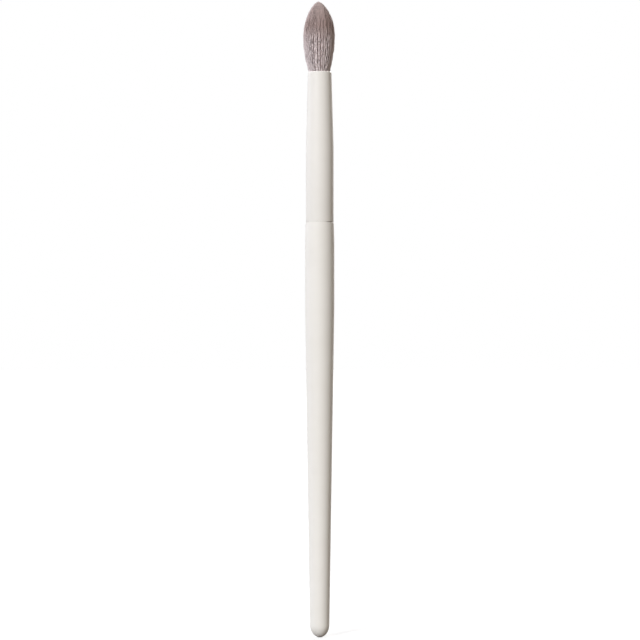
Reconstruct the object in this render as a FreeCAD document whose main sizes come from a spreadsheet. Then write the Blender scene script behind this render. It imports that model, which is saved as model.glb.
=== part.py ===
"""Eyeshadow brush: a lacquered wooden handle, a drawn aluminium ferrule and a pointed tuft of hair.

The brush stands along +Z with its butt on the origin. From the butt upwards come the tapering handle,
the shoulder where the ferrule seats, the ferrule, its mouth, and the hair that swells and draws to a point.
Inside the ferrule the handle's tenon is glued in from below. The roots of the hair are tied with thread
and set in a plug of resin from above, and a short empty stretch is left between the two.

The pieces are turned about the Z axis from half sections, and the locks of hair are lofted through
rings. Sizes are millimetres.
"""
import os

import FreeCAD, Part
import Sketcher

doc = FreeCAD.newDocument("eyeshadow_brush")

# Driving dimensions, one row each: alias, value, what it measures.
DIMENSIONS = [
    ("handle_length", 116.5, "butt to shoulder, without the tenon"),
    ("butt_diameter", 5.46, "straight stretch above the rounded butt"),
    ("butt_length", 4.2, "rounded butt and its straight stretch"),
    ("dome_height", 3.5, "rounded butt alone"),
    ("grip_length", 16.5, "widest, straight stretch of the handle"),
    ("swell_length", 7.5, "from that straight stretch up to the shoulder"),
    ("swell_step", 0.185, "how far the grip stands out past the shoulder, on each side"),
    ("shoulder_step", 0.03, "how far the shoulder stands out past the ferrule, on each side"),
    ("shoulder_edge", 0.16, "chamfered edge of the shoulder"),
    ("tenon_length", 16.0, "spigot of the handle inside the ferrule"),
    ("tenon_lead", 0.6, "chamfer that leads the tenon in"),
    ("glue_gap", 0.1, "glue film between tenon and ferrule, on each side"),
    ("glue_setback", 0.5, "bare stretch of tenon next to the shoulder"),
    ("ferrule_length", 42.0, "seat to mouth"),
    ("ferrule_diameter", 7.77, "straight barrel over the tenon"),
    ("ferrule_wall", 0.3, "thickness of the drawn tube"),
    ("barrel_spare", 3.5, "straight barrel past the end of the tenon"),
    ("mouth_step", 0.57, "how far the mouth draws in from the barrel, on each side"),
    ("rim_edge", 0.1, "chamfered edges of the mouth"),
    ("seat_edge", 0.08, "chamfered outer edge of the ferrule at the shoulder"),
    ("hair_length", 19.7, "mouth to the point of the hair"),
    ("hair_swell", 1.48, "how far the belly swells out past the mouth's bore, on each side"),
    ("belly_height", 9.9, "mouth to the widest part of the hair"),
    ("hair_gap", 0.03, "hair to the bore of the ferrule"),
    ("lock_depth", 0.25, "depth of the valleys between locks of hair, at the belly"),
    ("plug_setback", 4.0, "foot of the ferrule's taper to the resin"),
    ("plug_floor", 3.0, "resin below the ends of the roots"),
    ("plug_grip", 5.0, "resin round the roots"),
    ("thread_diameter", 0.32, "binding thread, from the roots to the crest of a turn"),
    ("thread_valley", 0.2, "depth of the groove between two turns"),
    ("thread_pitch", 0.4, "step from one turn of thread to the next"),
    ("thread_gap", 0.03, "crest of the thread to the bore"),
    ("tie_margin", 0.25, "bare bundle at each end of the winding"),
]
# Counts and shares that no length sets. The shares place the rings that shape the locks of hair: those
# of the way from the mouth to the belly, and those of the way from the belly to the point. The fullness is
# the power of the outline above the belly, less for a blunter point.
LOCK_COUNT = 16
LOCK_TURN = 360 / LOCK_COUNT
BELOW_BELLY = (0, 0.3, 0.62, 1)
ABOVE_BELLY = (0.2, 0.38, 0.54, 0.68, 0.8, 0.9, 0.97)
TIP_FULLNESS = 0.65
THREAD_TURNS = 4


def size_sheet(name, rows):
    """A sheet of sizes, one row each: alias, number or formula, what it measures."""
    sheet = doc.addObject("Spreadsheet::Sheet", name)
    for row, (alias, size, meaning) in enumerate(rows, start=1):
        sheet.set(f"A{row}", alias)
        sheet.set(f"B{row}", str(size))
        sheet.set(f"C{row}", meaning)
        sheet.setAlias(f"B{row}", alias)
    doc.recompute()
    return sheet


driving = size_sheet("Size", DIMENSIONS)

# Sizes that several pieces share. Heights in the ferrule are measured from its seat, and heights of the
# hair, its tie and its resin from the mouth, negative inside.
size_sheet(
    "Fit",
    [
        ("barrel", "=Size.ferrule_diameter / 2", "outer radius of the ferrule"),
        ("bore", "=barrel - Size.ferrule_wall", "inner radius of the ferrule"),
        ("mouth", "=barrel - Size.mouth_step", "outer radius at the mouth"),
        ("mouth_bore", "=mouth - Size.ferrule_wall", "inner radius at the mouth"),
        ("tenon", "=bore - Size.glue_gap", "radius of the tenon"),
        ("taper_foot", "=Size.tenon_length + Size.barrel_spare", "where the barrel begins to taper"),
        ("slope", "=Size.mouth_step / (Size.ferrule_length - taper_foot)", "of the taper"),
        ("mouth_height", "=Size.handle_length + Size.ferrule_length", "butt to mouth"),
        ("plug_bottom", "=taper_foot + Size.plug_setback - Size.ferrule_length", "free face of the resin"),
        ("root_bottom", "=plug_bottom + Size.plug_floor", "ends of the roots"),
        ("plug_top", "=root_bottom + Size.plug_grip", "top of the resin"),
        ("tie_bottom", "=plug_top + Size.tie_margin", "lowest point of the thread"),
        ("tie_height", f"={THREAD_TURNS} * Size.thread_pitch", "of the winding"),
        ("tie_top", "=tie_bottom + tie_height + Size.tie_margin", "where the bundle widens"),
        ("tie_room", "=Size.thread_diameter + Size.thread_gap", "from the bundle to the bore"),
        ("root", "=mouth_bore - slope * tie_top - tie_room", "radius of the tied roots"),
    ],
)


def value(formula):
    """The number that a formula of the sheets' cells comes to."""
    result = driving.evalExpression(formula)
    return float(getattr(result, "Value", result))


def new_body(label, height="0"):
    """A body whose own zero lies on the axis at the given height."""
    body = doc.addObject("PartDesign::Body", label)
    body.Label = label
    body.setExpression("Placement.Base.z", height)
    return body


def origin_feature(body, role):
    return next(feature for feature in body.Origin.OriginFeatures if feature.Role == role)


def new_sketch(body, name, plane):
    sketch = body.newObject("Sketcher::SketchObject", name)
    sketch.AttachmentSupport = [(origin_feature(body, plane), "")]
    sketch.MapMode = "FlatFace"
    return sketch


def bind(sketch, kind, *place, formula):
    """A dimension of the sketch that follows a formula of the sheet's cells."""
    pin = sketch.addConstraint(Sketcher.Constraint(kind, *place, value(formula)))
    sketch.setExpression(f"Constraints[{pin}]", formula)


def arc_between(start, end, radius):
    """The short arc of a given radius that runs counter-clockwise from start to end."""
    chord = end - start
    left = FreeCAD.Vector(-chord.y, chord.x, 0).normalize()
    centre = (start + end) / 2 + left * (radius**2 - chord.Length**2 / 4) ** 0.5
    circle = Part.Circle(centre, FreeCAD.Vector(0, 0, 1), radius)
    return Part.ArcOfCircle(circle, circle.parameter(start), circle.parameter(end))


def draw_outline(sketch, corners, arcs={}):
    """A closed outline through corners whose two formulas are bound to the sheets.

    The corners run counter-clockwise. arcs gives the radius of the edge that leaves a corner, by the
    corner's place in the list.
    """
    points = [FreeCAD.Vector(value(across), value(along), 0) for across, along in corners]
    edges = []
    for place, (start, end) in enumerate(zip(points, points[1:] + points[:1])):
        if place in arcs:
            edges.append(sketch.addGeometry(arc_between(start, end, value(arcs[place]))))
        else:
            edges.append(sketch.addGeometry(Part.LineSegment(start, end)))
    for place, edge in enumerate(edges):
        following = edges[(place + 1) % len(edges)]
        sketch.addConstraint(Sketcher.Constraint("Coincident", edge, 2, following, 1))
        across, along = corners[place]
        bind(sketch, "DistanceX", edge, 1, formula=across)
        bind(sketch, "DistanceY", edge, 1, formula=along)
        if place in arcs:
            bind(sketch, "Radius", edge, formula=arcs[place])


def turned(body, name, corners, arcs={}):
    """A half section of (radius, height) corners, turned a full circle about the Z axis."""
    sketch = new_sketch(body, f"{name}_section", "XZ_Plane")
    draw_outline(sketch, corners, arcs)
    turn = body.newObject("PartDesign::Revolution", name)
    turn.Profile = sketch
    turn.ReferenceAxis = (sketch, ["V_Axis"])
    turn.Angle = 360
    doc.recompute()
    return turn


def ring_edge(feature, radius, height):
    """The name of a feature's circular edge about the Z axis, found by its size and place."""
    for number, edge in enumerate(feature.Shape.Edges, start=1):
        if edge.Degenerated or not isinstance(edge.Curve, Part.Circle):
            continue
        off_radius = abs(edge.Curve.Radius - value(radius))
        off_height = abs(edge.Curve.Center.z - value(height))
        if max(off_radius, off_height) < 1e-4:
            return f"Edge{number}"
    raise ValueError(f"{feature.Label} has no round edge at {radius}, {height}")


def chamfered(body, name, base, rings, size):
    """Chamfers on the edges of the rings given as (radius, height)."""
    chamfer = body.newObject("PartDesign::Chamfer", name)
    chamfer.Base = (base, [ring_edge(base, *ring) for ring in rings])
    chamfer.setExpression("Size", size)
    doc.recompute()
    return chamfer


# Handle: one piece of turned wood. The rounded butt, the long taper, the straight grip stretch and the
# swell up to the shoulder are one outline, and the tenon stands on the shoulder.
# Two arcs draw the rounded butt. The one on the axis has an ellipse's radius at its end, and the other
# runs from it, smoothly, into the straight side.
def make_handle():
    size_sheet(
        "HandleFit",
        [
            ("butt", "=Size.butt_diameter / 2", "radius above the rounded butt"),
            ("shoulder", "=Fit.barrel + Size.shoulder_step", "radius at the seat"),
            ("grip", "=shoulder + Size.swell_step", "radius of the grip"),
            ("tip", "=butt^2 / Size.dome_height", "radius of the arc on the axis"),
            ("tip_rise", "=Size.dome_height - tip", "its centre to the straight side"),
            ("side", "=(tip_rise^2 + butt^2 - tip^2) / (2 * (butt - tip))", "radius of the other arc"),
            ("meet", "=tip * (side - butt) / (side - tip)", "radius where the arcs meet"),
            ("meet_height", "=tip - tip * tip_rise / (side - tip)", "height where the arcs meet"),
            ("grip_top", "=Size.handle_length - Size.swell_length", "top of the straight grip"),
            ("grip_bottom", "=grip_top - Size.grip_length", "foot of the straight grip"),
            ("tenon_top", "=Size.handle_length + Size.tenon_length", "end of the tenon"),
        ],
    )
    body = new_body("handle")
    outline = turned(
        body,
        "handle_turning",
        [
            ("0", "0"),
            ("HandleFit.meet", "HandleFit.meet_height"),
            ("HandleFit.butt", "Size.dome_height"),
            ("HandleFit.butt", "Size.butt_length"),
            ("HandleFit.grip", "HandleFit.grip_bottom"),
            ("HandleFit.grip", "HandleFit.grip_top"),
            ("HandleFit.shoulder", "Size.handle_length"),
            ("Fit.tenon", "Size.handle_length"),
            ("Fit.tenon", "HandleFit.tenon_top"),
            ("0", "HandleFit.tenon_top"),
        ],
        arcs={
            0: "HandleFit.tip",
            1: "HandleFit.side",
            5: "(Size.swell_length^2 + Size.swell_step^2) / (2 * Size.swell_step)",
        },
    )
    seat = [("HandleFit.shoulder", "Size.handle_length")]
    softened = chamfered(body, "shoulder_edge", outline, seat, "Size.shoulder_edge")
    chamfered(body, "tenon_lead", softened, [("Fit.tenon", "HandleFit.tenon_top")], "Size.tenon_lead")
    return body


# Ferrule: a seamless tube, drawn straight over the tenon and tapered to the mouth, of one wall thickness.
def make_ferrule():
    body = new_body("ferrule", "Size.handle_length")
    drawn = turned(
        body,
        "ferrule_turning",
        [
            ("Fit.bore", "0"),
            ("Fit.barrel", "0"),
            ("Fit.barrel", "Fit.taper_foot"),
            ("Fit.mouth", "Size.ferrule_length"),
            ("Fit.mouth_bore", "Size.ferrule_length"),
            ("Fit.bore", "Fit.taper_foot"),
        ],
    )
    # Both edges of the mouth are chamfered, so each takes less than half of the wall.
    lip = [("Fit.mouth", "Size.ferrule_length"), ("Fit.mouth_bore", "Size.ferrule_length")]
    rim = chamfered(body, "rim_edges", drawn, lip, "min(Size.rim_edge; 0.4 * Size.ferrule_wall)")
    foot = [("Fit.barrel", "0")]
    chamfered(body, "seat_edge", rim, foot, "min(Size.seat_edge; 0.4 * Size.ferrule_wall)")
    return body


# Glue film: the cured sleeve of glue that fills the space between tenon and ferrule.
def make_tenon_glue():
    body = new_body("tenon_glue", "Size.handle_length")
    top = "Size.tenon_length - Size.tenon_lead"
    turned(
        body,
        "glue_turning",
        [
            ("Fit.tenon", "Size.glue_setback"),
            ("Fit.bore", "Size.glue_setback"),
            ("Fit.bore", top),
            ("Fit.tenon", top),
        ],
    )
    return body


# Resin plug: poured into the ferrule from behind. It holds the ends of the roots in a socket and fills
# the tapered bore round them.
def make_root_plug():
    body = new_body("root_plug", "Fit.mouth_height")
    turned(
        body,
        "plug_turning",
        [
            ("0", "Fit.plug_bottom"),
            ("Fit.mouth_bore - Fit.slope * Fit.plug_bottom", "Fit.plug_bottom"),
            ("Fit.mouth_bore - Fit.slope * Fit.plug_top", "Fit.plug_top"),
            ("Fit.root", "Fit.plug_top"),
            ("Fit.root", "Fit.root_bottom"),
            ("0", "Fit.root_bottom"),
        ],
    )
    return body


# Binding thread: pulled tight round the roots just above the resin. Its turns press into one another,
# so the winding is one band, with a crest for each turn.
def make_root_thread():
    body = new_body("root_thread", "Fit.mouth_height + Fit.tie_bottom")
    crest = "Fit.root + Size.thread_diameter"
    valley = f"{crest} - Size.thread_valley"
    corners = [("Fit.root", "0"), (valley, "0")]
    for turn in range(THREAD_TURNS):
        corners.append((crest, f"Size.thread_pitch * {turn + 0.5}"))
        corners.append((valley, f"Size.thread_pitch * {turn + 1}"))
    corners.append(("Fit.root", "Fit.tie_height"))
    turned(body, "thread_winding", corners)
    return body


# Hair tuft: straight roots in the resin and under the thread, then a bundle that widens to the mouth.
# Past the mouth it opens softly, swells to the belly, draws in to a full ogive and ends in a round tip.
# The locks of hair are ridges that run the whole way up, deepest at the belly.
def make_hair_tuft():
    rows = [
        ("base", "=Fit.mouth_bore - Size.hair_gap", "radius at the mouth"),
        ("belly", "=base + Size.hair_swell", "radius at the belly"),
        ("taper", "=Size.hair_length - Size.belly_height", "belly to point"),
    ]
    levels = []
    for share in BELOW_BELLY:
        opening = f"(sin({90 * share}) + {share * share * (3 - 2 * share)}) / 2"
        levels.append((f"Size.belly_height * {share}", f"base + Size.hair_swell * {opening}"))
    for share in ABOVE_BELLY:
        drawn = (1 - share**2) ** TIP_FULLNESS
        levels.append((f"Size.belly_height + taper * {share}", f"belly * {drawn}"))
    last = len(levels) - 1
    rows.append(("tip_width", f"={levels[last][1]}", "radius where the round tip begins"))
    for ring, (height, crest) in enumerate(levels):
        share = f"(crest_{ring} - tip_width) / (belly - tip_width)"
        half_chord = f"(valley_{ring} * sin({LOCK_TURN / 2}))"
        bulge = f"(crest_{ring} - valley_{ring} * cos({LOCK_TURN / 2}))"
        rows += [
            (f"height_{ring}", f"={height}", "level of a ring of locks"),
            (f"crest_{ring}", f"={crest}", "its outermost radius"),
            (f"valley_{ring}", f"=crest_{ring} - Size.lock_depth * {share}", "radius between its locks"),
            (f"arc_{ring}", f"=({half_chord}^2 + {bulge}^2) / (2 * {bulge})", "arc over one lock"),
        ]
    rows += [
        ("tip_rise", f"=Size.hair_length - height_{last}", "height of the round tip"),
        ("tip_round", "=(tip_width^2 + tip_rise^2) / (2 * tip_rise)", "arc of the round tip"),
    ]
    size_sheet("HairFit", rows)

    body = new_body("hair_tuft", "Fit.mouth_height")
    turned(
        body,
        "roots",
        [
            ("0", "Fit.root_bottom"),
            ("Fit.root", "Fit.root_bottom"),
            ("Fit.root", "Fit.tie_top"),
            ("HairFit.base", "0"),
            ("0", "0"),
        ],
    )
    rings = [lock_ring(body, ring) for ring in range(len(levels))]
    doc.recompute()
    locks = body.newObject("PartDesign::AdditiveLoft", "locks")
    locks.Profile = rings[0]
    locks.Sections = rings[1:]
    locks.Ruled = True
    doc.recompute()
    turned(
        body,
        "tip",
        [
            ("0", f"HairFit.height_{last}"),
            ("HairFit.tip_width", f"HairFit.height_{last}"),
            ("0", "Size.hair_length"),
        ],
        arcs={1: "HairFit.tip_round"},
    )
    return body


def lock_ring(body, ring):
    """A level section of the hair: one arc for each lock, from valley over crest to valley."""
    sketch = new_sketch(body, f"lock_ring_{ring}", "XY_Plane")
    sketch.setExpression("AttachmentOffset.Base.z", f"HairFit.height_{ring}")
    corners = []
    for lock in range(LOCK_COUNT):
        turn = (lock - 0.5) * LOCK_TURN
        corners.append((f"HairFit.valley_{ring} * cos({turn})", f"HairFit.valley_{ring} * sin({turn})"))
    draw_outline(sketch, corners, arcs={lock: f"HairFit.arc_{ring}" for lock in range(LOCK_COUNT)})
    return sketch


pieces = [
    make_handle(),
    make_ferrule(),
    make_tenon_glue(),
    make_root_plug(),
    make_root_thread(),
    make_hair_tuft(),
]
doc.recompute()

for thing in doc.Objects:
    if "Invalid" in thing.State or "Error" in thing.State:
        raise ValueError(f"{thing.Label} failed: {thing.State}")
for piece in pieces:
    if piece.Shape.isNull() or not piece.Shape.isValid() or len(piece.Shape.Solids) != 1:
        raise ValueError(f"{piece.Label} isn't one valid solid")

os.makedirs("parts", exist_ok=True)
for piece in pieces:
    piece.Shape.exportStep(f"parts/{piece.Label}.step")
    print(f"{piece.Label}: {piece.Shape.Volume:.2f} cubic millimetres")
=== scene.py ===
import math

import bpy
import numpy as np
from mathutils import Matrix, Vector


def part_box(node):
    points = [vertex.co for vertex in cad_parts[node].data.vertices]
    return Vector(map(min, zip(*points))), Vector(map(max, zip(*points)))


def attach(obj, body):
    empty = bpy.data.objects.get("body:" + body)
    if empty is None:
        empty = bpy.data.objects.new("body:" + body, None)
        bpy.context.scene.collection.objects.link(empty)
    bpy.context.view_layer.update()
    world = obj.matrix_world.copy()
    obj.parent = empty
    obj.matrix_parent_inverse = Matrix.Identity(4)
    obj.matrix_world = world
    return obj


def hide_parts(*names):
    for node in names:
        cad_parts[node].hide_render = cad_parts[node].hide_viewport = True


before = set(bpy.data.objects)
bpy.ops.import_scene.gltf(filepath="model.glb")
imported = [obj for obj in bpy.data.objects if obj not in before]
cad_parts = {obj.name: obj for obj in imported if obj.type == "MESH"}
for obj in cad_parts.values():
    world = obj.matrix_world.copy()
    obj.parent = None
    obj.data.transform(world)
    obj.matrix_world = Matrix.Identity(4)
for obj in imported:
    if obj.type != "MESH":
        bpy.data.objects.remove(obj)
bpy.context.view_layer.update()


# Handle
# One length of hardwood, turned to a long taper with a rounded butt, sealed, sprayed with warm off-white
# satin lacquer and rubbed down. The tenon at its top is left bare, and is glued into the ferrule.
MM = 0.001
_, handle_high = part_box("handle")
ferrule_low, ferrule_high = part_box("ferrule")
shoulder_height = ferrule_low.z
barrel_radius = ferrule_high.x
grip_radius = handle_high.x
tenon_top = handle_high.z

butt_radius = 2.73 * MM
dome_height = 3.5 * MM
butt_length = 4.2 * MM
grip_length = 16.5 * MM
draw_in_length = 7.5 * MM
shoulder_step = 0.03 * MM
shoulder_round = 0.1 * MM
tenon_inset = 0.4 * MM
tenon_lead = 0.6 * MM
grip_top = shoulder_height - draw_in_length
grip_foot = grip_top - grip_length
shoulder_radius = barrel_radius + shoulder_step
tenon_radius = barrel_radius - tenon_inset


def arc(centre, radii, start, end, steps):
    """Points of an upright ellipse's arc as (radius, height), from one angle to another in degrees."""
    turns = np.radians(np.linspace(start, end, steps + 1))
    return [(centre[0] + radii[0] * math.cos(t), centre[1] + radii[1] * math.sin(t)) for t in turns]


def straight(start, end, steps):
    """Points of a straight stretch, both ends left out."""
    shares = np.arange(1, steps) / steps
    return [(start[0] + (end[0] - start[0]) * s, start[1] + (end[1] - start[1]) * s) for s in shares]


def turned_piece(name, outline, sides=96, closed=False, crease=40):
    """A mesh turned about the Z axis from an outline of (radius, height) points.

    A point on the axis becomes a single vertex. A closed outline goes back to its first point.
    Edges that turn by more than the crease, in degrees, stay sharp.
    """
    on_axis = 1e-9
    vertices = []
    rings = []
    for radius, height in outline:
        if radius < on_axis:
            rings.append([len(vertices)] * sides)
            vertices.append((0, 0, height))
            continue
        rings.append(range(len(vertices), len(vertices) + sides))
        for side in range(sides):
            turn = 2 * math.pi * side / sides
            vertices.append((radius * math.cos(turn), radius * math.sin(turn), height))
    pairs = list(zip(rings, rings[1:]))
    if closed:
        pairs.append((rings[-1], rings[0]))
    faces = []
    for lower, upper in pairs:
        for side in range(sides):
            beside = (side + 1) % sides
            corners = [lower[side], lower[beside], upper[beside], upper[side]]
            faces.append(list(dict.fromkeys(corners)))
    mesh = bpy.data.meshes.new(name)
    mesh.from_pydata(vertices, [], faces)
    mesh.shade_smooth()
    mesh.set_sharp_from_angle(angle=math.radians(crease))
    piece = bpy.data.objects.new(name, mesh)
    bpy.context.scene.collection.objects.link(piece)
    return piece


# The shoulder stops a hair's breadth under the ferrule's foot, and the seam there runs in to a neck.
seam_gap = 0.02 * MM
seam_depth = 0.36 * MM
shoulder_top = shoulder_height - seam_gap
neck_radius = barrel_radius - seam_depth
swell = grip_radius - shoulder_radius
swell_length = shoulder_top - grip_top
swell_bend = (swell_length**2 + swell**2) / (2 * swell)
swell_turn = math.degrees(math.asin((swell_length - shoulder_round) / swell_bend))
handle_outline = (
    arc((0, dome_height), (butt_radius, dome_height), -90, 0, steps=24)
    + [(butt_radius, butt_length)]
    + straight((butt_radius, butt_length), (grip_radius, grip_foot), steps=12)
    + [(grip_radius, grip_foot)]
    + arc((grip_radius - swell_bend, grip_top), (swell_bend, swell_bend), 0, swell_turn, steps=10)
    + arc(
        (shoulder_radius - shoulder_round, shoulder_top - shoulder_round),
        (shoulder_round, shoulder_round),
        swell_turn,
        90,
        steps=6,
    )
    + [(neck_radius, shoulder_top), (neck_radius, shoulder_height)]
    + [(tenon_radius, shoulder_height), (tenon_radius, tenon_top - tenon_lead)]
    + [(tenon_radius - tenon_lead, tenon_top), (0, tenon_top)]
)
handle = turned_piece("handle_turned", handle_outline)

# The shoulder is trimmed a little off square, so that the seam opens on one side.
seam_opening = 0.16 * MM
open_side = math.radians(-36)
opening_bend = 12
trim_foot = shoulder_top - 2 * shoulder_round
trim_top = shoulder_top + seam_gap / 2
for vertex in handle.data.vertices:
    if trim_foot < vertex.co.z < trim_top:
        towards_opening = math.cos(math.atan2(vertex.co.y, vertex.co.x) - open_side)
        vertex.co.z -= seam_opening * max(0, towards_opening) ** opening_bend


def new_material(name):
    """A new material with its nodes, its links and its main shader."""
    material = bpy.data.materials.new(name)
    material.use_nodes = True
    nodes = material.node_tree.nodes
    return material, nodes, material.node_tree.links, nodes["Principled BSDF"]


def noise(nodes, links, coordinates, scale, detail=2.0):
    """A noise texture over the given coordinates, with so many features to the metre."""
    texture = nodes.new("ShaderNodeTexNoise")
    texture.inputs["Scale"].default_value = scale
    texture.inputs["Detail"].default_value = detail
    links.new(coordinates, texture.inputs["Vector"])
    return texture.outputs["Fac"]


def between(nodes, links, share, low, high):
    """A number that goes from low to high as the share goes over the middle of its range."""
    middle_start = 0.3
    middle_end = 0.7
    spread = nodes.new("ShaderNodeMapRange")
    spread.inputs["From Min"].default_value = middle_start
    spread.inputs["From Max"].default_value = middle_end
    spread.inputs["To Min"].default_value = low
    spread.inputs["To Max"].default_value = high
    links.new(share, spread.inputs["Value"])
    return spread.outputs["Result"]


def mixed(nodes, links, share, first, second):
    """A colour between two, by a share."""
    mix = nodes.new("ShaderNodeMix")
    mix.data_type = "RGBA"
    links.new(share, mix.inputs["Factor"])
    mix.inputs["A"].default_value = (*first, 1)
    mix.inputs["B"].default_value = (*second, 1)
    return mix.outputs["Result"]


def lacquer(name, thin, thick, sheen_low, sheen_high, peel_depth):
    """A sprayed satin coat: a faint drift of colour, uneven sheen and a fine orange peel."""
    drift_scale = 160
    rubbed_scale = 900
    peel_scale = 2600
    peel_strength = 0.25
    satin_gloss = 0.18
    material, nodes, links, shader = new_material(name)
    place = nodes.new("ShaderNodeTexCoord").outputs["Object"]
    drift = between(nodes, links, noise(nodes, links, place, drift_scale), 0, 1)
    links.new(mixed(nodes, links, drift, thin, thick), shader.inputs["Base Color"])
    rubbed = noise(nodes, links, place, rubbed_scale, detail=4)
    links.new(between(nodes, links, rubbed, sheen_low, sheen_high), shader.inputs["Roughness"])
    peel = nodes.new("ShaderNodeBump")
    peel.inputs["Strength"].default_value = peel_strength
    peel.inputs["Distance"].default_value = peel_depth
    links.new(noise(nodes, links, place, peel_scale, detail=3), peel.inputs["Height"])
    links.new(peel.outputs["Normal"], shader.inputs["Normal"])
    shader.inputs["Specular IOR Level"].default_value = satin_gloss
    return material


handle_lacquer = lacquer(
    "handle_lacquer",
    thin=(0.85, 0.824, 0.768),
    thick=(0.872, 0.847, 0.794),
    sheen_low=0.42,
    sheen_high=0.52,
    peel_depth=0.006 * MM,
)


def bare_wood(name, pale, dark):
    """Turned hardwood with its grain along the Z axis."""
    grain_stretch = (1, 1, 0.06)
    grain_scale = 1800
    smooth = 0.6
    rough = 0.75
    material, nodes, links, shader = new_material(name)
    stretched = nodes.new("ShaderNodeMapping")
    stretched.inputs["Scale"].default_value = grain_stretch
    links.new(nodes.new("ShaderNodeTexCoord").outputs["Object"], stretched.inputs["Vector"])
    fibres = noise(nodes, links, stretched.outputs["Vector"], grain_scale, detail=6)
    grain = between(nodes, links, fibres, 0, 1)
    links.new(mixed(nodes, links, grain, pale, dark), shader.inputs["Base Color"])
    links.new(between(nodes, links, grain, smooth, rough), shader.inputs["Roughness"])
    return material


# The bare wood is given a dark tone, so that it also paints the shade inside the seam.
tenon_wood_and_seam_shade = bare_wood("tenon_wood_and_seam_shade", pale=(0.34, 0.23, 0.15), dark=(0.22, 0.14, 0.09))
handle.data.materials.append(handle_lacquer)
handle.data.materials.append(tenon_wood_and_seam_shade)

# The lacquer goes over the shoulder's rounded edge, and the wood is bare from there to the tenon's end.
lacquer_reach = 0.1 * MM
bare_radius = barrel_radius - lacquer_reach
for face in handle.data.polygons:
    is_bare = face.center.z > grip_top and face.center.xy.length < bare_radius
    face.material_index = int(is_bare)
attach(handle, "root")
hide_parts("handle")


# Ferrule
# A seamless aluminium tube, drawn over a mandrel to a straight barrel and a tapered mouth, and enamelled
# in the handle's off-white. It is pushed on to the shoulder, and its rim is turned soft for the hair.
mouth_height = ferrule_high.z
ferrule_wall = 0.3 * MM
barrel_past_tenon = 3.5 * MM
mouth_draw = 0.57 * MM
bend_reach = 1.5 * MM
bend_drop = 0.012 * MM
foot_round = 0.05 * MM
rim_round = 0.1 * MM
rim_width = 0.2 * MM
rim_drop = 0.4 * MM
taper_foot = tenon_top + barrel_past_tenon
mouth_radius = barrel_radius - mouth_draw
bore_radius = barrel_radius - ferrule_wall
mouth_bore = mouth_radius - ferrule_wall
ferrule_outline = (
    [(bore_radius, shoulder_height)]
    + arc(
        (barrel_radius - foot_round, shoulder_height + foot_round),
        (foot_round, foot_round),
        -90,
        0,
        steps=6,
    )
    + [(barrel_radius, taper_foot - bend_reach), (barrel_radius - bend_drop, taper_foot + bend_reach)]
    + arc((mouth_radius - rim_width, mouth_height - rim_drop), (rim_width, rim_drop), 0, 90, steps=10)
    + arc((mouth_bore + rim_round, mouth_height - rim_round), (rim_round, rim_round), 90, 180, steps=6)
    + [(bore_radius, taper_foot)]
)
ferrule = turned_piece("ferrule_drawn", ferrule_outline, closed=True)
ferrule_enamel = lacquer(
    "ferrule_enamel",
    thin=(0.855, 0.827, 0.773),
    thick=(0.876, 0.849, 0.798),
    sheen_low=0.36,
    sheen_high=0.46,
    peel_depth=0.004 * MM,
)
ferrule.data.materials.append(ferrule_enamel)
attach(ferrule, "root")
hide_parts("ferrule")


# Glue, resin and thread
# The tenon's film of white glue, the amber resin poured in behind the roots, and the cotton thread that
# ties them. They are shut inside the ferrule, and keep the shapes of the construction.
def cast_or_shade_material(name, clear, cloudy, scale, roughness):
    """A cured or spun stuff, or the painted shade inside the tuft, with cloudy patches of so many to the
    metre.
    """
    roughness_spread = 0.06
    material, nodes, links, shader = new_material(name)
    place = nodes.new("ShaderNodeTexCoord").outputs["Object"]
    cloud = between(nodes, links, noise(nodes, links, place, scale, detail=4), 0, 1)
    links.new(mixed(nodes, links, cloud, clear, cloudy), shader.inputs["Base Color"])
    uneven = between(nodes, links, cloud, roughness - roughness_spread, roughness + roughness_spread)
    links.new(uneven, shader.inputs["Roughness"])
    return material


inner_stuffs = {
    "tenon_glue": cast_or_shade_material(
        "white_glue", clear=(0.78, 0.74, 0.63), cloudy=(0.7, 0.65, 0.52), scale=700, roughness=0.4
    ),
    "root_plug": cast_or_shade_material(
        "amber_resin", clear=(0.42, 0.25, 0.1), cloudy=(0.5, 0.33, 0.16), scale=900, roughness=0.2
    ),
    "root_thread": cast_or_shade_material(
        "cotton_thread", clear=(0.72, 0.69, 0.62), cloudy=(0.58, 0.55, 0.48), scale=5000, roughness=0.85
    ),
}
for node, stuff in inner_stuffs.items():
    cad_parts[node].data.materials.clear()
    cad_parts[node].data.materials.append(stuff)


# Hair tuft
# A bundle of crimped synthetic fibres, pale at the foot and taupe towards their tapered tips. It is cupped
# to swell past the mouth and draw to a soft point, and its roots are tied and set in resin.
_, tuft_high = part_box("hair_tuft")
tuft_length = tuft_high.z - mouth_height
belly_radius = tuft_high.x
belly_height = 9.9 * MM
point_bend = 0.665
root_depth = 1.6 * MM
root_clearance = 0.01 * MM
tuft_foot_radius = mouth_bore - root_clearance
hair_draw = 0.62
hair_draw_bend = 2.2
side_lean = -0.16 * MM
side_lean_rise = 1.2 * MM
tip_lean = -0.2 * MM
tip_lean_bend = 8


def above_belly(height):
    """The share of the way from the belly to the point."""
    return np.clip((height - belly_height) / (tuft_length - belly_height), 0, 1)


def tuft_radius(height):
    """The tuft's radius at a height over the mouth: a swell to the belly, then an ogive to the point."""
    rise = np.clip(height / belly_height, 0, 1)
    full = tuft_foot_radius + (belly_radius - tuft_foot_radius) * np.sin(rise * math.pi / 2)
    return full * (1 - above_belly(height) ** 2) ** point_bend


def hair_flow(height):
    """How wide the bundle would be at a height if no hair ended before it."""
    drawn = 1 - hair_draw * above_belly(height) ** hair_draw_bend
    return tuft_radius(np.clip(height, 0, belly_height)) * drawn


def lean(height):
    """How far along X the tuft stands from the axis: aside over the mouth, and further at the point."""
    share = np.clip(height / tuft_length, 0, 1)
    return side_lean * np.tanh(height / side_lean_rise) + tip_lean * share**tip_lean_bend
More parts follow.
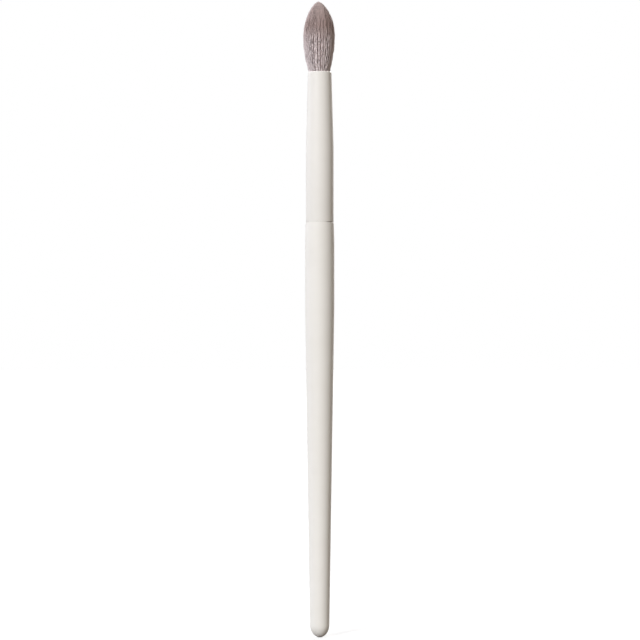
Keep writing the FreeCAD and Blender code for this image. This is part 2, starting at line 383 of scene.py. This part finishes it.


# The shade between the hairs is painted on a dark, smooth core that stands a little inside them.
core_share = 0.82
core_steps = 40
core_shoulder = 0.93 * tuft_length
core_point = 0.94 * tuft_length
core_outline = (
    [(0, mouth_height - root_depth), (tuft_foot_radius * core_share, mouth_height - root_depth)]
    + [
        (float(core_share * tuft_radius(height)), mouth_height + height)
        for height in np.linspace(0, core_shoulder, core_steps)
    ]
    + [(0, mouth_height + core_point)]
)
core = turned_piece("hair_core", core_outline, sides=64)
for vertex in core.data.vertices:
    vertex.co.x += float(lean(max(vertex.co.z - mouth_height, 0)))
hair_shade = cast_or_shade_material(
    "hair_shade", clear=(0.16, 0.11, 0.1), cloudy=(0.22, 0.16, 0.145), scale=2600, roughness=0.8
)
core.data.materials.append(hair_shade)
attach(core, "root")
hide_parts("hair_tuft")

# Locks of hairs that crimp together stand in rings, from the surface inwards. Depths and spacings are
# shares of the belly's radius, and a lock's wave is the length of one crimp. The phase of the crimp drifts
# in three and in five waves around the tuft, so that neighbours crimp roughly together.
hairs_to_lock = 8
outer_depth = 0.97
inner_depth = 0.02
ring_step = 0.1
lock_spacing = 0.06
fewest_locks = 3
threefold_drift = 2.5
fivefold_drift = 2
fivefold_start = 2
draws = np.random.default_rng(5)
ring_depths = np.arange(outer_depth, inner_depth, -ring_step)
ring_counts = [max(fewest_locks, round(2 * math.pi * depth / lock_spacing)) for depth in ring_depths]
lock_count = sum(ring_counts)
lock_depth = np.repeat(ring_depths, ring_counts) + draws.normal(0, 0.02, lock_count)
lock_pitch = np.repeat(2 * math.pi / np.array(ring_counts), ring_counts)
lock_turn = lock_pitch * (np.arange(lock_count) + draws.normal(0, 0.2, lock_count))
lock_radius = draws.uniform(0.035, 0.075, lock_count) * MM
lock_wave = draws.uniform(2.9, 3.9, lock_count) * MM
lock_swing = draws.uniform(0.03, 0.09, lock_count) * MM
lock_phase = threefold_drift * np.sin(3 * lock_turn)
lock_phase += fivefold_drift * np.sin(5 * lock_turn + fivefold_start)
lock_phase += draws.normal(0, 0.8, lock_count)

# Dark locks lie among pale ones, spread by steps of the golden section. They are partly darker hairs and
# partly painted shade between the hairs: more of them lie inside than at the surface, and at the front
# there are more and darker ones, while on the flanks the dark tones are painted paler and the pale ones
# duller. A tone of 0 is darkest, and 1 palest.
golden_step = 0.618
front_side = math.radians(-92)
front_bend = 1.6
surface_depth = 0.91
surface_dark_share = 0.17
inner_dark_and_shade_share = 0.38
front_painted_shade_share = 0.22
flank_painted_light = 0.6
flank_painted_shade = 0.05
lock_order = np.mod(golden_step * np.arange(lock_count) + draws.normal(0, 0.06, lock_count), 1)
in_front = np.maximum(0, np.cos(lock_turn - front_side)) ** front_bend
dark_and_shade_share = np.where(lock_depth > surface_depth, surface_dark_share, inner_dark_and_shade_share)
is_dark_or_shaded = lock_order < dark_and_shade_share + front_painted_shade_share * in_front
dark_tone = draws.uniform(0, 0.15, lock_count) + flank_painted_light * (1 - in_front)
pale_tone = draws.uniform(0.85, 1, lock_count) - flank_painted_shade * (1 - in_front)
lock_tone = np.where(is_dark_or_shaded, dark_tone, pale_tone)

# A lock's hairs are scattered about its middle, and the loose ones among them stray and crimp more.
loose_share = 0.14
loose_stray = 2.2
loose_crimp = 2
hair_lock = np.repeat(np.arange(lock_count), hairs_to_lock)
hair_count = len(hair_lock)
is_loose = draws.uniform(0, 1, hair_count) < loose_share
stray = np.where(is_loose, loose_stray, 1)
within = np.sqrt(draws.uniform(0, 1, hair_count)) * lock_radius[hair_lock] * stray
bearing = draws.uniform(0, 2 * math.pi, hair_count)
hair_out = within * np.cos(bearing)
hair_side = within * np.sin(bearing)
hair_wave = draws.uniform(1.8, 3.2, hair_count) * MM
hair_phase = draws.uniform(0, 2 * math.pi, hair_count)
crimp = draws.gamma(shape=2, scale=0.016, size=hair_count) * MM
hair_crimp = crimp * np.where(is_loose, loose_crimp, 1)
hair_tone = np.clip(lock_tone[hair_lock] + draws.normal(0, 0.04, hair_count), 0, 1)
tip_tone = draws.uniform(0.25, 0.75, hair_count)

# A hair ends about where it meets the tuft's surface, and the ends vary more near the belly than near the
# point. The outer hairs go down into the ferrule, and of the inner ones only the upper ends are made.
height_steps = 400
belly_variation = 1.7
long_hair_depth = 0.8
tip_hair_length = 5.5 * MM
tip_hair_foot = 0.5 * MM
place_out = lock_depth[hair_lock] * belly_radius + hair_out
hair_depth = np.clip(np.hypot(place_out, hair_side) / belly_radius, 0, 1)
heights = np.linspace(belly_height, tuft_length, height_steps)
reached = tuft_radius(heights) / hair_flow(heights)
hair_end = np.interp(hair_depth, reached[::-1], heights[::-1])
end_scatter = draws.normal(0, 0.16, hair_count) * MM
hair_end += end_scatter * (belly_variation - above_belly(hair_end))
is_outer = hair_depth > long_hair_depth
tip_hair_begin = np.maximum(hair_end - tip_hair_length, tip_hair_foot)
hair_begin = np.where(is_outer, -root_depth, tip_hair_begin)

# The crimp is held in at the mouth and fades out towards the point. Along it a hair's tone is painted
# now paler and now darker with the crimp, a painted highlight and shade, and the shift sets the glints of
# neighbouring locks apart.
crimp_rise = 1.2 * MM
crimp_at_mouth = 0.3
crimp_end = 0.8 * tuft_length
crimp_fade = 6 * MM
crimp_at_point = 0.1
tip_splay = 1.2
out_swing = 0.8
out_pace = 0.9
out_sink = 0.6
stray_limit = 0.08 * MM
lock_painted_glint = 0.08
hair_painted_glint = 0.07
painted_glint_shift = 40
tip_tone_bend = 0.6
least_distance = 1e-9


def hair_paths(chosen, rings):
    """Centre lines of the chosen hairs, as an array of hairs by rings by three, and their tones with the
    painted glint.
    """
    lock = hair_lock[chosen]
    share = np.linspace(0, 1, rings)
    height = hair_begin[chosen, None] + (hair_end - hair_begin)[chosen, None] * share
    over = np.maximum(height, 0)
    scale = hair_flow(over) / belly_radius
    loosened = scale * (1 + tip_splay * above_belly(over))
    rising = np.clip(over / crimp_rise, crimp_at_mouth, 1)
    fading = np.clip((crimp_end - over) / crimp_fade, crimp_at_point, 1)
    crimped = rising * fading
    swing = 2 * math.pi * height / lock_wave[lock, None] + lock_phase[lock, None]
    shiver = 2 * math.pi * height / hair_wave[chosen, None] + hair_phase[chosen, None]
    bend = lock_swing[lock, None] * crimped
    fine = hair_crimp[chosen, None] * crimped
    out = scale * lock_depth[lock, None] * belly_radius + loosened * hair_out[chosen, None]
    out = out + out_swing * bend * (np.cos(out_pace * swing) - out_sink) + fine * np.cos(shiver)
    side = loosened * hair_side[chosen, None] + bend * np.sin(swing) + fine * np.sin(shiver)
    limit = tuft_radius(over) + stray_limit
    held = np.minimum(1, limit / np.maximum(np.hypot(out, side), least_distance))
    turn = lock_turn[lock, None]
    x = held * (out * np.cos(turn) - side * np.sin(turn)) + lean(over)
    y = held * (out * np.sin(turn) + side * np.cos(turn))
    # A painted highlight and shade that come and go along the crimp.
    painted_glint = lock_painted_glint * crimped * np.cos(out_pace * swing + painted_glint_shift * lock_tone[lock, None])
    painted_glint = painted_glint + hair_painted_glint * np.cos(shiver)
    towards_tip = above_belly(over) ** tip_tone_bend
    tone = hair_tone[chosen, None] + (tip_tone - hair_tone)[chosen, None] * towards_tip
    return np.stack([x, y, mouth_height + height], axis=2), np.clip(tone + painted_glint, 0, 1)


def unit(vectors):
    """The same directions at a length of one."""
    return vectors / np.linalg.norm(vectors, axis=-1, keepdims=True)


# A hair has four sides, so that its walls and its two ends are all faces of four corners.
hair_sides = 4
level_only = np.array([1, 1, 0])
upright = np.array([0, 0, 1])


def hair_shell(paths):
    """Directions from the points of the paths to the sides of the hairs, the first of them outwards."""
    off_axis = np.array([1e-6, 0, 0])
    ahead = unit(np.gradient(paths, axis=1))
    aside = unit(np.cross(ahead, paths * level_only + off_axis))
    front = np.cross(aside, ahead)
    turns = 2 * math.pi * np.arange(hair_sides) / hair_sides
    return np.cos(turns)[:, None] * front[:, :, None] + np.sin(turns)[:, None] * aside[:, :, None]


def bundle_facing(paths):
    """Directions in which the tuft's smooth form faces at the points of the paths."""
    slope_step = 0.05 * MM
    steepest = 3
    height = paths[:, :, 2] - mouth_height
    slope = (tuft_radius(height + slope_step) - tuft_radius(height - slope_step)) / (2 * slope_step)
    distance = np.hypot(paths[:, :, 0], paths[:, :, 1])
    around = paths * level_only / np.maximum(distance, least_distance)[:, :, None]
    return unit(around - np.clip(slope, -steepest, steepest)[:, :, None] * upright)


# Light falls on the hairs partly as on single tubes and mostly as on one smooth bundle.
bundle_share = 0.72
tone_columns = 64


def hair_mesh(name, paths, thickness, tones):
    """One mesh of closed, tapered tubes along the paths, with their tones on its map."""
    hairs, rings = paths.shape[:2]
    shell = hair_shell(paths)
    vertices = (paths[:, :, None] + thickness[:, :, None, None] * shell).reshape(-1, 3)
    first = np.arange(hairs)[:, None, None] * rings * hair_sides
    lower = first + np.arange(rings - 1)[:, None] * hair_sides
    upper = lower + hair_sides
    side = np.arange(hair_sides)
    beside = (side + 1) % hair_sides
    walls = np.stack([lower + side, lower + beside, upper + beside, upper + side], axis=3)
    foot = (first[:, 0] + side[::-1]).reshape(-1, hair_sides)
    tip = (first[:, 0] + (rings - 1) * hair_sides + side).reshape(-1, hair_sides)
    faces = np.concatenate([walls.reshape(-1, hair_sides), foot, tip])
    mesh = bpy.data.meshes.new(name)
    mesh.from_pydata(vertices, [], faces.tolist())
    mesh.shade_smooth()
    facing = unit((1 - bundle_share) * shell + bundle_share * bundle_facing(paths)[:, :, None])
    mesh.normals_split_custom_set_from_vertices(facing.reshape(-1, 3))

    # Across the map the tones go from dark to pale, and up it the heights go from mouth to point. The
    # sides of a hair share a narrow column, so that its walls keep some width there.
    lengthwise = np.clip((paths[:, :, 2] - mouth_height) / tuft_length, 0, 1)
    u = tones[:, :, None] * (1 - 1 / tone_columns) + side / (hair_sides - 1) / tone_columns
    v = np.broadcast_to(lengthwise[:, :, None], (hairs, rings, hair_sides))
    corner_map = np.stack([u, v], axis=3).reshape(-1, 2)
    layer = mesh.uv_layers.new(name="OFBake")
    layer.data.foreach_set("uv", corner_map[faces.ravel()].ravel().astype(np.float32))
    piece = bpy.data.objects.new(name, mesh)
    bpy.context.scene.collection.objects.link(piece)
    return piece


def hair_stuff(name, dark_stops, pale_stops):
    """Fibre colours by the map: across it from dark to pale hairs, and up it from foot to tip."""
    sheen_scale = 2500
    sheen_low = 0.4
    sheen_high = 0.58
    fibre_gloss = 0.3
    material, nodes, links, shader = new_material(name)
    chart = nodes.new("ShaderNodeUVMap")
    chart.uv_map = "OFBake"
    split = nodes.new("ShaderNodeSeparateXYZ")
    links.new(chart.outputs["UV"], split.inputs["Vector"])
    mix = nodes.new("ShaderNodeMix")
    mix.data_type = "RGBA"
    links.new(split.outputs["X"], mix.inputs["Factor"])
    for stops, socket in ((dark_stops, "A"), (pale_stops, "B")):
        ramp = nodes.new("ShaderNodeValToRGB")
        for height, _ in stops[1:-1]:
            ramp.color_ramp.elements.new(height)
        for element, (height, colour) in zip(ramp.color_ramp.elements, stops):
            element.position = height
            element.color = (*colour, 1)
        links.new(split.outputs["Y"], ramp.inputs["Fac"])
        links.new(ramp.outputs["Color"], mix.inputs[socket])
    links.new(mix.outputs["Result"], shader.inputs["Base Color"])
    place = nodes.new("ShaderNodeTexCoord").outputs["Object"]
    sheen = between(nodes, links, noise(nodes, links, place, sheen_scale), sheen_low, sheen_high)
    links.new(sheen, shader.inputs["Roughness"])
    shader.inputs["Specular IOR Level"].default_value = fibre_gloss
    return material


hair_fibre = hair_stuff(
    "hair_fibre",
    dark_stops=[
        (0, (0.285, 0.2, 0.198)),
        (0.45, (0.232, 0.156, 0.152)),
        (0.7, (0.29, 0.2, 0.18)),
        (1, (0.44, 0.34, 0.315)),
    ],
    pale_stops=[
        (0, (0.98, 0.872, 0.86)),
        (0.42, (0.97, 0.838, 0.82)),
        (0.64, (0.68, 0.515, 0.475)),
        (1, (0.8, 0.67, 0.645)),
    ],
)

# The long hairs and the inner tips are each parted into sectors around the tuft.
hair_radius = 0.034 * MM
taper_share = 0.4
tip_thickness = 0.3
long_hair_rings = 36
tip_hair_rings = 13
sector_count = 6
sector = np.floor(np.mod(lock_turn[hair_lock], 2 * math.pi) / (2 * math.pi) * sector_count)
for place in range(sector_count):
    for label, group, rings in (("long", is_outer, long_hair_rings), ("tip", ~is_outer, tip_hair_rings)):
        chosen = np.flatnonzero(group & (sector == place))
        paths, tones = hair_paths(chosen, rings)
        taper = np.clip((1 - np.linspace(0, 1, rings)) / taper_share, tip_thickness, 1)
        thickness = np.broadcast_to(hair_radius * taper, paths.shape[:2])
        hairs = hair_mesh(f"hair_{label}_{place}", paths, thickness, tones)
        hairs.data.materials.append(hair_fibre)
        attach(hairs, "root")
        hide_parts("hair_tuft")


# Floor and light
# A plain pale floor under a white surround. The key lamp stands at the front left, and broader lamps
# fill in from the left, from the front right, from overhead and from behind.
floor_reach = 4.0
floor_gap = 0.05 * MM
floor = turned_piece("floor", [(0, 0), (floor_reach, 0)], sides=64)
floor.location.z = -floor_gap


def seen_share(nodes, links):
    """1 for a ray from the camera, a mirror or a glass, and 0 for one that carries light."""
    path = nodes.new("ShaderNodeLightPath")
    seen = path.outputs["Is Camera Ray"]
    for ray in ("Is Glossy Ray", "Is Transmission Ray"):
        either = nodes.new("ShaderNodeMath")
        either.operation = "MAXIMUM"
        links.new(seen, either.inputs[0])
        links.new(path.outputs[ray], either.inputs[1])
        seen = either.outputs["Value"]
    return seen


# Light that bounces meets a dull floor. What is seen is pale, and its glow leaves the shadow faint.
dull_colour = (0.1, 0.075, 0.06, 1)
pale_colour = (0.6, 0.6, 0.6, 1)
floor_glow = 0.54
floor_paint = bpy.data.materials.new("floor_paint")
floor_paint.use_nodes = True
paint_nodes = floor_paint.node_tree.nodes
paint_links = floor_paint.node_tree.links
paint_nodes.clear()
dull = paint_nodes.new("ShaderNodeBsdfDiffuse")
dull.inputs["Color"].default_value = dull_colour
pale = paint_nodes.new("ShaderNodeBsdfDiffuse")
pale.inputs["Color"].default_value = pale_colour
glow = paint_nodes.new("ShaderNodeEmission")
glow.inputs["Strength"].default_value = floor_glow
shown = paint_nodes.new("ShaderNodeAddShader")
paint_links.new(pale.outputs["BSDF"], shown.inputs[0])
paint_links.new(glow.outputs["Emission"], shown.inputs[1])
paint_choice = paint_nodes.new("ShaderNodeMixShader")
paint_links.new(seen_share(paint_nodes, paint_links), paint_choice.inputs["Fac"])
paint_links.new(dull.outputs["BSDF"], paint_choice.inputs[1])
paint_links.new(shown.outputs["Shader"], paint_choice.inputs[2])
paint_out = paint_nodes.new("ShaderNodeOutputMaterial")
paint_links.new(paint_choice.outputs["Shader"], paint_out.inputs["Surface"])
floor.data.materials.append(floor_paint)

# The surround is white to the eye, and gives hardly any light.
surround_light = 0.02
surround = bpy.data.worlds.new("surround")
bpy.context.scene.world = surround
surround.use_nodes = True
sky_nodes = surround.node_tree.nodes
sky_links = surround.node_tree.links
sky = sky_nodes["Background"]
sky.inputs["Color"].default_value = (1, 1, 1, 1)
brightness = sky_nodes.new("ShaderNodeMapRange")
brightness.inputs["To Min"].default_value = surround_light
brightness.inputs["To Max"].default_value = 1
sky_links.new(seen_share(sky_nodes, sky_links), brightness.inputs["Value"])
sky_links.new(brightness.outputs["Result"], sky.inputs["Strength"])


def lamp(name, azimuth, elevation, strength, spread, colour):
    """A far lamp that shines on the brush from an azimuth, 0 at the camera and -90 at its left."""
    light = bpy.data.lights.new(name, "SUN")
    light.energy = strength
    light.angle = math.radians(spread)
    light.color = colour
    holder = bpy.data.objects.new(name, light)
    holder.rotation_euler = (math.radians(90 - elevation), 0, math.radians(azimuth))
    bpy.context.scene.collection.objects.link(holder)


lamp("key", azimuth=-30, elevation=22, strength=2.82, spread=20, colour=(0.936, 0.957, 1))
lamp("left_fill", azimuth=-118, elevation=22, strength=1.35, spread=30, colour=(0.926, 0.926, 1))
lamp("right_fill", azimuth=35, elevation=22, strength=0.57, spread=30, colour=(1, 0.895, 0.737))
lamp("overhead", azimuth=0, elevation=75, strength=0.4, spread=90, colour=(1, 1, 1))
lamp("back_fill", azimuth=155, elevation=25, strength=2.3, spread=30, colour=(1, 0.98, 0.96))


# Camera
# It looks level along +Y, and frames the brush from the point of its hair to its butt. The rows are
# counted in pixels from the picture's top, and the brush's axis stands a little left of its middle.
picture_side = 640
point_row = 1.75
butt_row = 637.15
axis_offset = 0.25
pixel = tuft_high.z / (butt_row - point_row)
camera_reach = 0.75
camera_data = bpy.data.cameras.new("camera")
camera_data.sensor_width = 36
camera_data.lens = camera_data.sensor_width * camera_reach / (picture_side * pixel)
camera = bpy.data.objects.new("camera", camera_data)
camera.location = (axis_offset * pixel, -camera_reach, (butt_row - picture_side / 2) * pixel)
camera.rotation_euler = (math.radians(90), 0, 0)
bpy.context.scene.collection.objects.link(camera)
bpy.context.scene.camera = camera
bpy.context.scene.view_settings.view_transform = "Standard"
